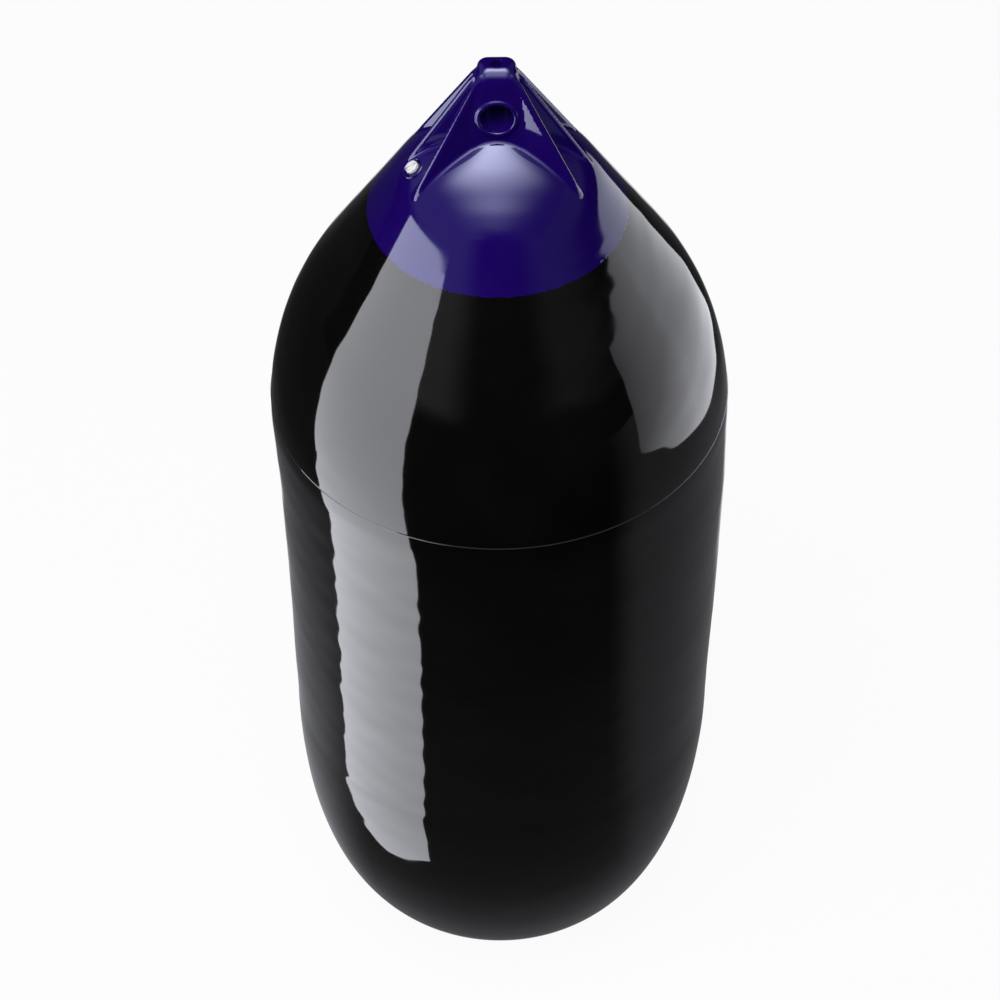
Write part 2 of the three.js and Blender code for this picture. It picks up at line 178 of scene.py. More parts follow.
@dataclass(frozen=True)
class Section:
    """Section of the skin in (radius, height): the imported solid's curves, with a slightly fuller dome."""

    length: float = 1.270
    greatest_radius: float = 0.254
    widest: float = 0.779
    seam_height: float = 0.799
    shoulder_arc: float = 0.360
    half_angle: float = math.radians(31.1)
    dome_height: float = 0.323
    wall_draft: float = 0.016
    dome_side_power: float = 4.13
    dome_end_power: float = 1.95
    flat_spot: float = 0.075
    skirt_edge: float = 1.069

    @property
    def cone_foot(self) -> Pair:
        """Point where the shoulder arc meets the cone."""
        r = self.greatest_radius + self.shoulder_arc * (math.cos(self.half_angle) - 1)
        return r, self.widest + self.shoulder_arc * math.sin(self.half_angle)

    def cone_radius(self, z: Array | float) -> Array | float:
        """Radius of the cone at a height."""
        r, foot = self.cone_foot
        return r - math.tan(self.half_angle) * (z - foot)

    def cone_height(self, r: float) -> float:
        """Height of the cone at a radius."""
        foot_r, foot = self.cone_foot
        return foot + (foot_r - r) / math.tan(self.half_angle)

    def below_skirt(self, spacing: float) -> tuple[Array, Array]:
        """Section from the flat spot up to the skirt's edge.

        Dome: r = R cos(a)^(2/p), z = h (1 - sin(a)^(2/q)), eased onto the flat spot. Wall: a
        straight draft. Shoulder: an arc that starts upright. Cone: straight.

        Args:
            spacing: Length of a step along the section.

        Returns:
            Radii and heights, the first one on the axis.
        """
        foot_r = self.greatest_radius - self.wall_draft
        a = np.linspace(math.pi / 2, 0.0, 2000)
        r = foot_r * np.cos(a) ** (2 / self.dome_side_power)
        z = self.dome_height * (1 - np.sin(a) ** (2 / self.dome_end_power))
        keep = r > self.flat_spot
        r, z = r[keep], z[keep]
        z = z - z[0] * (1 - z / self.dome_height)
        wall_z = np.linspace(self.dome_height, self.widest, 50)[1:]
        wall_r = foot_r + self.wall_draft * (wall_z - self.dome_height) / (self.widest - self.dome_height)
        b = np.linspace(0.0, self.half_angle, 400)[1:]
        arc_r = self.greatest_radius + self.shoulder_arc * (np.cos(b) - 1)
        arc_z = self.widest + self.shoulder_arc * np.sin(b)
        r = np.concatenate([[0.0], r, wall_r, arc_r, [self.cone_radius(self.skirt_edge)]])
        z = np.concatenate([[0.0], z, wall_z, arc_z, [self.skirt_edge]])
        along = np.concatenate([[0.0], np.cumsum(np.hypot(np.diff(r), np.diff(z)))])
        steps = np.linspace(0.0, along[-1], int(along[-1] / spacing) + 1)
        return np.interp(steps, along, r), np.interp(steps, along, z)


@dataclass(frozen=True)
class Vinyl:
    """Glossy moulded vinyl: a deep colour, a faint ripple, light marks, and a paler line along a seam that is a
    painted highlight.
    """

    name: str
    colour: Triple
    worn: Triple
    roughness: float = 0.045
    roughness_spread: float = 0.03
    ior: float = 1.48
    gloss: float = 0.5
    gloss_tint: Triple = (1.0, 1.0, 1.0)
    seam_height: float = 0.0
    seam_half: float = 0.0006
    # Colour of the painted highlight along the seam, standing in for light that the seam catches.
    seam_highlight_colour: Triple = (0.024, 0.024, 0.023)
    ripple: float = 0.00022
    ripple_scale: Triple = (6.0, 6.0, 30.0)
    grain: float = 0.0000035
    grain_scale: float = 900.0
    cloud_scale: float = 9.0
    wear: Pair = (0.45, 0.75)
    smear_stretch: Triple = (5.0, 5.0, 1.6)
    smear_scale: float = 6.0

    def build(self) -> bpy.types.Material:
        """Makes the material.

        Returns:
            A node material whose colour, roughness and bump vary over the surface.
        """
        nodes = Nodes(self.name)
        place = nodes.add("ShaderNodeTexCoord").outputs["Object"]
        cloud = nodes.noise(place, scale=self.cloud_scale, detail=4.0)
        tint = nodes.mix_colour(nodes.ramp(cloud, *self.wear), self.colour, self.worn)
        # Painted highlight: a paler band at the seam's height stands in for light that the seam catches.
        if self.seam_height > 0:
            seam_highlight = nodes.band(place, self.seam_height, self.seam_half)
            tint = nodes.mix_colour(seam_highlight, tint, self.seam_highlight_colour)
        smear = nodes.noise(nodes.mapped(place, self.smear_stretch), scale=self.smear_scale, detail=6.0)
        rough = nodes.scaled(smear, self.roughness_spread, self.roughness - self.roughness_spread / 2)
        ripple = nodes.noise(nodes.mapped(place, self.ripple_scale), scale=1.0, detail=1.0)
        grain = nodes.noise(place, scale=self.grain_scale, detail=2.0)
        normal = nodes.bump(grain, self.grain, nodes.bump(ripple, self.ripple))
        shader = nodes.shader(roughness=rough, colour=tint, normal=normal)
        shader.inputs["IOR"].default_value = self.ior
        shader.inputs["Specular IOR Level"].default_value = self.gloss
        shader.inputs["Specular Tint"].default_value = (*self.gloss_tint, 1.0)
        return nodes.material


@dataclass(frozen=True)
class Plastic:
    """Moulded hard plastic with a fine texture and clouds of slight grime."""

    name: str
    colour: Triple
    grime: Triple
    roughness: float = 0.25
    roughness_spread: float = 0.12
    grain: float = 0.00001
    grain_scale: float = 1400.0
    cloud_scale: float = 180.0
    clouds: Pair = (0.5, 0.8)

    def build(self) -> bpy.types.Material:
        """Makes the material.

        Returns:
            A node material with cloudy colour and a fine bump.
        """
        nodes = Nodes(self.name)
        place = nodes.add("ShaderNodeTexCoord").outputs["Object"]
        cloud = nodes.noise(place, scale=self.cloud_scale, detail=5.0)
        tint = nodes.mix_colour(nodes.ramp(cloud, *self.clouds), self.colour, self.grime)
        rough = nodes.scaled(cloud, self.roughness_spread, self.roughness - self.roughness_spread / 2)
        normal = nodes.bump(nodes.noise(place, scale=self.grain_scale, detail=2.0), self.grain)
        nodes.shader(roughness=rough, colour=tint, normal=normal)
        return nodes.material


class Nodes:
    """Short hand for the node tree of one material."""

    def __init__(self, name: str) -> None:
        """Starts an empty material.

        Args:
            name: The material's name.
        """
        self.material = bpy.data.materials.new(name)
        self.material.use_nodes = True
        self.tree = self.material.node_tree
        self.tree.nodes.clear()
        self.output = self.add("ShaderNodeOutputMaterial")

    def add(self, kind: str) -> bpy.types.Node:
        """Adds a node of a kind."""
        return self.tree.nodes.new(kind)

    def link(self, source: Socket, target: Socket) -> None:
        """Links two sockets."""
        self.tree.links.new(source, target)

    def mapped(self, place: Socket, scale: Triple) -> Socket:
        """Stretches coordinates by a factor for each axis."""
        node = self.add("ShaderNodeMapping")
        node.inputs["Scale"].default_value = scale
        self.link(place, node.inputs["Vector"])
        return node.outputs["Vector"]

    def noise(self, place: Socket, scale: float, detail: float) -> Socket:
        """Adds a noise pattern and returns its value."""
        node = self.add("ShaderNodeTexNoise")
        node.inputs["Scale"].default_value = scale
        node.inputs["Detail"].default_value = detail
        self.link(place, node.inputs["Vector"])
        return node.outputs["Fac"]

    def ramp(self, value: Socket, low: float, high: float) -> Socket:
        """Turns a value into 0 below a limit and 1 above another, straight between them."""
        node = self.add("ShaderNodeMapRange")
        node.inputs["From Min"].default_value = low
        node.inputs["From Max"].default_value = high
        self.link(value, node.inputs["Value"])
        return node.outputs["Result"]

    def scaled(self, value: Socket, factor: float, start: float) -> Socket:
        """Returns value times factor plus start."""
        result = self.maths("MULTIPLY_ADD", value)
        result.node.inputs[1].default_value = factor
        result.node.inputs[2].default_value = start
        return result

    def maths(self, operation: str, *values: Socket) -> Socket:
        """Returns the result of an operation on values."""
        node = self.add("ShaderNodeMath")
        node.operation = operation
        for value, slot in zip(values, node.inputs):
            self.link(value, slot)
        return node.outputs["Value"]

    def band(self, place: Socket, height: float, half: float) -> Socket:
        """Returns 1 in a level band round a height, falling to 0 at twice its half width."""
        split = self.add("ShaderNodeSeparateXYZ")
        self.link(place, split.inputs["Vector"])
        away = self.maths("ABSOLUTE", self.scaled(split.outputs["Z"], 1.0, -height))
        return self.ramp(away, 2 * half, half)

    def mix_colour(
        self, factor: Socket, one: Socket | tuple, other: tuple
    ) -> Socket:
        """Mixes two colours by a factor, the first of which may come from a socket."""
        node = self.add("ShaderNodeMix")
        node.data_type = "RGBA"
        self.link(factor, node.inputs["Factor"])
        if isinstance(one, tuple):
            node.inputs["A"].default_value = (*one, 1.0)
        else:
            self.link(one, node.inputs["A"])
        node.inputs["B"].default_value = (*other, 1.0)
        return node.outputs["Result"]

    def bump(
        self, height: Socket, depth: float, below: Socket | None = None
    ) -> Socket:
        """Adds a bump of a depth in metres, on top of another one where that is given."""
        node = self.add("ShaderNodeBump")
        node.inputs["Distance"].default_value = depth
        self.link(height, node.inputs["Height"])
        if below is not None:
            self.link(below, node.inputs["Normal"])
        return node.outputs["Normal"]

    def shader(
        self, roughness: Socket, colour: Socket, normal: Socket
    ) -> bpy.types.Node:
        """Adds the surface shader and links it to the output."""
        node = self.add("ShaderNodeBsdfPrincipled")
        self.link(roughness, node.inputs["Roughness"])
        self.link(colour, node.inputs["Base Color"])
        self.link(normal, node.inputs["Normal"])
        self.link(node.outputs["BSDF"], self.output.inputs["Surface"])
        return node


@dataclass
class FenderBody:
    """The inflated black skin, with its parting seam and the slow ripple of its moulding."""

    section: Section
    seam_width: float = 0.0014
    seam_rise: float = 0.00052
    seam_rows: int = 13
    spacing: float = 0.0037
    columns: int = 288
    swell: float = 0.00010
    waves: tuple[Triple, ...] = (
        (3, 0.19, 1.0), (5, 0.11, 0.8), (8, 0.066, 0.55), (13, 0.043, 0.42), (17, 0.031, 0.26))
    seed: int = 7
    sway: float = 0.0026
    sway_radius: float = 0.1
    right_from: Pair = (0.3, 0.56)
    right_to: Pair = (0.79, 0.66)
    left_below: Pair = (0.34, 0.04)
    left_share: float = 1.2
    lap_depth: float = 0.0083
    edge_gap: float = 0.0003
    neck_radius: float = 0.098
    neck_drop: float = 0.009
    finish: Vinyl = Vinyl(
        "black_vinyl", (0.0024, 0.0022, 0.0023), (0.0042, 0.0039, 0.0037), seam_height=Section.seam_height)

    def rows(self) -> tuple[Array, Array]:
        """Section of the skin with extra rows at the seam, turned in under the skirt.

        Returns:
            Radii and heights from the lower pole to the upper one.
        """
        s = self.section
        r, z = s.below_skirt(self.spacing)
        seam = s.seam_height + self.seam_width * np.linspace(-0.9, 0.9, self.seam_rows)
        away = (z < seam[0] - self.spacing / 3) | (z > seam[-1] + self.spacing / 3)
        seam_r = np.interp(seam, z, r)
        order = np.argsort(np.concatenate([z[away], seam]), kind="stable")
        r = np.concatenate([r[away], seam_r])[order]
        z = np.concatenate([z[away], seam])[order]
        r[0], z[0] = 0.0, 0.0
        r = r + self.seam_rise * np.exp(-(((z - s.seam_height) / (0.36 * self.seam_width)) ** 2))
        cos, sin = math.cos(s.half_angle), math.sin(s.half_angle)
        edge = np.array([r[-1] + self.edge_gap * sin, z[-1] - self.edge_gap * cos])
        r[-1], z[-1] = edge
        ledge = edge - self.lap_depth * np.array([cos, sin])
        under_cap = s.cone_height(0.106)
        hidden = np.array([[self.neck_radius, under_cap - self.neck_drop], [0.0, under_cap + 0.02]])
        return np.concatenate([r, [ledge[0]], hidden[:, 0]]), np.concatenate([z, [ledge[1]], hidden[:, 1]])

    def ripple(self, angle: Array, z: Array) -> Array:
        """Slow unevenness of the skin: a sum of waves round and along it, with seeded phases.

        Args:
            angle: Angles round the axis, as a row.
            z: Heights, as a column.

        Returns:
            Outward displacement in metres, one value per grid point.
        """
        rng = np.random.default_rng(self.seed)
        height = np.zeros(np.broadcast(angle, z).shape)
        for turns, pitch, share in self.waves:
            for sign in (-1, 1):
                phase = rng.uniform(0, 2 * math.pi, 2)
                wave = np.sin(sign * turns * angle + 2 * math.pi * z / pitch + phase[0])
                height += share * wave * (0.6 + 0.4 * np.sin(2 * angle + 5 * z + phase[1]))
        return self.swell * height

    def bend(self, z: Array) -> Array:
        """Sideways set of the soft skin at a height: a little left at its foot and right at mid height."""
        right = smooth_step(z, *self.right_from) * smooth_step(z, *self.right_to)
        return self.sway * (right - self.left_share * smooth_step(z, *self.left_below))

    def build(self) -> bpy.types.Object:
        """Builds the skin and dresses it.

        Returns:
            The piece that stands for the body node.
        """
        radius, height = self.rows()
        angle = full_turn(self.columns)[None, :]
        z = height[:, None]
        s = self.section
        fade = np.clip((z - 0.05) / 0.25, 0, 1) * np.clip((s.skirt_edge - 0.002 - z) / 0.03, 0, 1)
        fade = fade * np.clip(abs(z - s.seam_height) / 0.02, 0.25, 1)
        surface = radius[:, None] - self.swell + fade * self.ripple(angle, z)
        surface = surface + self.bend(z) * np.cos(angle) * np.clip(radius[:, None] / self.sway_radius, 0, 1)
        surface = np.where(radius[:, None] > 0, np.maximum(surface, 0), 0)
        skin = revolve("fender_skin", surface, height, self.columns)
        skin.data.materials.append(self.finish.build())
        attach(skin, "fender")
        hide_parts("body")
        LOG.info("fender_skin: %d faces", len(skin.data.polygons))
        return skin


def smooth_union(a: Array, b: Array, fillet: float) -> Array:
    """Joins two distance fields with a fillet: min(a, b) less h^2 k / 4, with h = max(k - |a - b|, 0) / k."""
    k = 1.17 * fillet
    h = np.maximum(k - np.abs(a - b), 0.0) / k
    return np.minimum(a, b) - h * h * k / 4


def smooth_cut(a: Array, b: Array, round_off: float) -> Array:
    """Common part of two distance fields, with its edge rounded by a radius."""
    return -smooth_union(-a, -b, round_off)


def round_union(a: Array, b: Array, fillet: float) -> Array:
    """Joins two distance fields with a round fillet: max(f, min(a, b)) less the length of (f - a, f - b)."""
    reach = np.hypot(np.maximum(fillet - a, 0.0), np.maximum(fillet - b, 0.0))
    return np.maximum(fillet, np.minimum(a, b)) - reach


def round_cut(a: Array, b: Array, round_off: Array | float) -> Array:
    """Common part of two distance fields, with its edge turned round by a radius."""
    return -round_union(-a, -b, round_off)


@dataclass
class Ropehold:
    """The blue end piece, one moulding, as a signed distance field in metres."""

    section: Section
    skin: float = 0.008
    cap_easing: float = 0.002
    cap_turns: tuple[tuple[float, ...], ...] = (
        (0.0, 0.05, 0.07, 0.085, 0.1, 0.112, 0.12, 0.2), (22, 27, 32.5, 40, 50, 57))
    cap_step: float = 0.0002
    tuck: float = 0.00008
    tuck_reach: float = 0.012
    rim_depth: float = 0.003
    hub_half_width: float = 0.0254
    hub_half_depth: float = 0.022
    side_taper: float = math.radians(5.4)
    face_taper: float = math.radians(6.6)
    foot_taper: float = math.radians(2.5)
    bay_hollow: float = 0.0025
    bay_reach: float = 0.03
    crown_edge: float = 0.0095
    crown_lean: float = 0.52
    crown_lean_reach: float = 0.006
    crown_gap: float = 0.0006
    corner_low: float = 0.003
    corner_high: float = 0.0115
    crown_hole_radius: float = 0.0062
    crown_hole_depth: float = 0.012
    crown_hole_back: float = 0.003
    eye_drop: float = 0.0565
    eye_radius: float = 0.0175
    eye_rim: float = 0.0026
    eye_fillet: float = 0.0012
    ribs: tuple[Pair, ...] = (
        (60, 0.001), (90, -0.001), (120, -0.0015), (240, -0.001), (270, -0.001), (300, 0.001))
    rib_edge: float = 0.00375
    rib_thickening: float = 0.13
    rib_sunk: float = 0.0019
    rib_foot: float = 0.102
    rib_foot_reach: float = 0.016
    rib_head_reach: float = 0.018
    rib_top_drop: float = 0.009
    hub_fillet: float = 0.0038
    rib_fillet: float = 0.0034
    recess_radius: float = 0.0105
    recess_depth: float = 0.0025
    recess_flare: float = 0.06
    hole_edge: float = 0.0008
    seat_edge: float = 0.0005
    insert_radius: float = 0.0083
    collar_radius: float = 0.0113
    collar_depth: float = 0.00525
    collar_half: float = 0.0011
    cell: float = 0.0018
    pull: float = 0.05
    settling_steps: int = 2
    valve_origin: Vector = field(default_factory=Vector)
    valve_axis: Vector = field(default_factory=Vector)
    finish: Vinyl = Vinyl("blue_vinyl", BLUE, BLUE_WORN, roughness=0.055, ripple=0.00008, gloss=0.66,
                          gloss_tint=(0.76, 0.79, 1.0))

    def __post_init__(self) -> None:
        """Prepares the cap's section."""
        self.cap_radius, self.cap_level, self.cap_slope = self.cap_section()

    def cap_section(self) -> tuple[Array, Array, Array]:
        """Section of the skirt and cap: the cone turns over into a flatter crown, by slope at each radius.

        The height is the sum of the slope's tangent from the skirt inward.

        Returns:
            Radii from the axis outward, heights, and slopes below level in radians.
        """
        s = self.section
        step = self.cap_step
        radius = np.arange(0.0, 0.2, step)
        steep = 90 - math.degrees(s.half_angle)
        slope = np.radians(np.interp(radius, self.cap_turns[0], (*self.cap_turns[1], steep, steep)))
        bell = np.exp(-((np.arange(-40, 41) * step / self.cap_easing) ** 2) / 2)
        slope = np.convolve(np.pad(slope, 40, mode="edge"), bell / bell.sum(), mode="valid")
        level = -np.cumsum(np.tan(slope)) * step
        return radius, level + s.cone_height(radius[-1]) - level[-1], slope

    def outside(self, r: Array, z: Array) -> Array:
        """Distance to the skirt and cap, measured square to the section's slope."""
        level = np.interp(r, self.cap_radius, self.cap_level)
        slope = np.interp(r, self.cap_radius, self.cap_slope)
        return (z - level) * np.cos(slope)

    def hub(self, x: Array, y: Array, z: Array) -> Array:
        """Distance to the pillar: four leaning faces whose corners and top edge turn round toward the top.

        Its front and back are hollowed a little between the ribs, below the eye.
        """
        eye = self.section.length - self.eye_drop
        below = eye - z
        side = np.abs(x) - self.hub_half_width - below * math.tan(self.side_taper)
        lean = np.where(below > 0, math.tan(self.foot_taper), math.tan(self.face_taper))
        middle = np.clip(1 - (x / self.hub_half_width) ** 2, 0, 1)
        hollow = self.bay_hollow * np.clip(below / self.bay_reach, 0, 1) * middle
        face = np.abs(y) - self.hub_half_depth - below * lean + hollow
        rise = np.clip(1 - (self.section.length - self.crown_edge - z) / self.eye_drop, 0, 1)
        corner = self.corner_low + (self.corner_high - self.corner_low) * rise**2
        pillar = round_cut(side * math.cos(self.side_taper), face * math.cos(self.face_taper), corner)
        edge = self.crown_edge * (1 - self.crown_lean * np.tanh(y / self.crown_lean_reach))
        return round_cut(pillar, z - self.top, edge)

    @property
    def top(self) -> float:
        """Height of the crown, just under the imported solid's."""
        return self.section.length - self.crown_gap

    def rib(self, x: Array, y: Array, z: Array, azimuth: float, proud: float) -> Array:
        """Distance to one rib: a web that thickens inward from a full-round edge, proud of the cone."""
        s = self.section
        out = np.array([math.sin(math.radians(azimuth)), -math.cos(math.radians(azimuth))])
        u = x * out[0] + y * out[1]
        w = x * out[1] - y * out[0]
        cos, sin = math.cos(s.half_angle), math.sin(s.half_angle)
        foot_z = s.cone_height(self.rib_foot)
        low = (foot_z - z) * cos + (u - self.rib_foot) * sin
        head_z = s.length - self.rib_top_drop
        high = (z - head_z) * cos - (u - s.cone_radius(head_z)) * sin
        at_foot, at_head = 1 + low / self.rib_foot_reach, 1 + high / self.rib_head_reach
        sunk = self.rib_sunk * (np.clip(at_foot, 0, 1) ** 2 + np.clip(at_head, 0, 1) ** 2)
        beyond = (u - s.cone_radius(z)) * cos + self.rib_edge - proud + sunk
        end = np.maximum(np.maximum(low, high), 0.0)
        rod = np.sqrt(w * w + beyond * beyond + end * end) - self.rib_edge
        web = (np.abs(w) - self.rib_edge + self.rib_thickening * beyond) / math.hypot(1, self.rib_thickening)
        web = np.maximum(np.maximum(web, beyond), np.maximum(np.maximum(low, high), -u))
        return np.minimum(rod, web)

    def rim(self, x: Array, y: Array, z: Array, side: int) -> Array:
        """Distance to the round rim of the eye on one leaning face: a torus in that face's plane."""
        eye = self.section.length - self.eye_drop
        normal = (0.0, side * math.cos(self.face_taper), math.sin(self.face_taper))
        dy, dz = y - side * self.hub_half_depth, z - eye
        off = dy * normal[1] + dz * normal[2]
        across = np.sqrt(np.maximum(x * x + dy * dy + dz * dz - off * off, 0))
        return np.hypot(across - self.eye_radius - self.eye_rim, off) - self.eye_rim

    def valve_seat(self, x: Array, y: Array, z: Array) -> Array:
        """Distance to the hollow for the valve: round recess, barrel bore and the groove for the collar."""
        o, n = self.valve_origin, self.valve_axis
        dx, dy, dz = x - o.x, y - o.y, z - o.z
        up = dx * n.x + dy * n.y + dz * n.z
        across = np.sqrt(np.maximum(dx * dx + dy * dy + dz * dz - up * up, 0))
        recess = np.maximum(across - self.recess_radius - self.recess_flare * up, -self.recess_depth - up)
        barrel = across - self.insert_radius
        groove = np.maximum(across - self.collar_radius, np.abs(up + self.collar_depth) - self.collar_half)
        return np.minimum(np.minimum(recess, barrel), groove)

    def distance(self, points: Array) -> Array:
        """Signed distance to the ropehold, negative inside.

        Args:
            points: Places in metres, one row each.

        Returns:
            One distance per point.
        """
        x, y, z = points[:, 0], points[:, 1], points[:, 2]
        s = self.section
        r = np.hypot(x, y)
        cap = self.outside(r, z) + self.tuck * smooth_step(z, s.skirt_edge + self.tuck_reach, s.skirt_edge)
        webs = self.rib(x, y, z, *self.ribs[0])
        for azimuth, proud in self.ribs[1:]:
            webs = round_union(webs, self.rib(x, y, z, azimuth, proud), self.rib_fillet)
        upper = round_union(self.hub(x, y, z), webs, self.rib_fillet)
        for side in (-1, 1):
            upper = smooth_union(upper, self.rim(x, y, z, side), self.eye_fillet)
        near_hub = np.clip((0.060 - r) / 0.025, 0, 1)
        whole = round_union(cap, upper, self.rib_fillet + (self.hub_fillet - self.rib_fillet) * near_hub)
        eye = s.length - self.eye_drop
        bore = np.hypot(x, z - eye) - self.eye_radius
        whole = smooth_cut(whole, -bore, self.hole_edge)
        across = np.hypot(x, y - self.crown_hole_back)
        hole = np.maximum(across - self.crown_hole_radius, self.top - self.crown_hole_depth - z)
        whole = smooth_cut(whole, -hole, self.hole_edge)
        whole = smooth_cut(whole, -self.valve_seat(x, y, z), self.seat_edge)
        edge_z = s.skirt_edge - self.rim_depth
        rim = (edge_z - z) * math.cos(s.half_angle) + (r - s.cone_radius(edge_z)) * math.sin(s.half_angle)
        return np.maximum(np.maximum(whole, -(cap + self.skin)), rim)

    def gradient(self, points: Array) -> Array:
        """Direction of steepest rise of the field, of unit length, by central differences."""
        step = 0.00004
        parts = []
        for axis in Axis:
            shift = np.zeros(3)
            shift[axis.value] = step
            parts.append(self.distance(points + shift) - self.distance(points - shift))
        slope = np.stack(parts, axis=-1)
        return slope / np.maximum(np.linalg.norm(slope, axis=1, keepdims=True), 1e-12)

    def contour(self) -> tuple[Array, Array]:
        """Dual contour of the field on a regular grid.

        A cell that the surface crosses gets one vertex, which least squares puts where the planes
        of its crossings meet, and each crossed grid edge gives one quad between its four cells.

        Returns:
            Vertices, and quads as rows of four indices.
        """
        reach = self.section.cone_radius(self.section.skirt_edge) + 3 * self.cell
        low = np.array([-reach, -reach, self.section.skirt_edge - 0.008])
        high = np.array([reach, reach, self.section.length + 0.004])
        count = np.ceil((high - low) / self.cell).astype(int) + 1
        axes = [low[i] + self.cell * np.arange(count[i]) for i in range(3)]
        values = np.empty(count)
        for k, level in enumerate(axes[2]):
            gx, gy = np.meshgrid(axes[0], axes[1], indexing="ij")
            layer = np.stack([gx.ravel(), gy.ravel(), np.full(gx.size, level)], axis=-1)
            values[:, :, k] = self.distance(layer).reshape(gx.shape)
        strides = np.array([count[1] * count[2], count[2], 1])
        flat = values.ravel()
        cells, weights, quads = [], [], []
        for axis in range(3):
            inside = values < 0
            here = [slice(None)] * 3
            there = [slice(None)] * 3
            here[axis], there[axis] = slice(0, -1), slice(1, None)
            crossed = np.argwhere(inside[tuple(here)] != inside[tuple(there)])
            index = crossed @ strides
            v0, v1 = flat[index], flat[index + strides[axis]]
            points = low + crossed * self.cell
            points[:, axis] += self.cell * v0 / (v0 - v1)
            normals = self.gradient(points)
            b, c = (axis + 1) % 3, (axis + 2) % 3
            corner = [index - strides[b] - strides[c], index - strides[c], index, index - strides[b]]
            ring = np.stack(corner, axis=-1)
            ring[v0 > 0] = ring[v0 > 0][:, ::-1]
            quads.append(ring)
            cells.append(np.concatenate(corner))
            weights.append(np.tile(np.concatenate([points, normals], axis=1), (4, 1)))
        cells, weights, quads = np.concatenate(cells), np.concatenate(weights), np.concatenate(quads)
        names, member = np.unique(cells, return_inverse=True)

        def total(amounts: Array) -> Array:
            """Sums an amount over the crossings of each cell."""
            return np.bincount(member, weights=amounts, minlength=len(names))

        number = total(np.ones(len(member)))
        centre = np.stack([total(weights[:, i]) for i in range(3)], axis=-1) / number[:, None]
        n = weights[:, 3:]
        lift = np.einsum("ij,ij->i", n, weights[:, :3] - centre[member])
        matrix = np.empty((len(names), 3, 3))
        for i in range(3):
            for j in range(3):
                matrix[:, i, j] = total(n[:, i] * n[:, j])
        matrix += self.pull * np.eye(3)
        right = np.stack([total(n[:, i] * lift) for i in range(3)], axis=-1)
        vertices = centre + np.linalg.solve(matrix, right[:, :, None])[:, :, 0]
        cell_low = low + np.stack(np.unravel_index(names, count), axis=-1) * self.cell
        vertices = np.clip(vertices, cell_low, cell_low + self.cell)
        for _ in range(self.settling_steps):
            vertices = vertices - self.distance(vertices)[:, None] * self.gradient(vertices)
        return vertices, np.searchsorted(names, quads)

    def build(self) -> bpy.types.Object:
        """Builds the moulding and dresses it.

        Returns:
            The piece that stands for the ropehold node.
        """
        vertices, quads = self.contour()
        piece = put_in_scene("ropehold_moulding", vertices, [quads], smooth_deg=50.0)
        piece.data.materials.append(self.finish.build())
        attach(piece, "fender")
        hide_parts("ropehold")
        LOG.info("ropehold_moulding: %d faces", len(piece.data.polygons))
        return piece


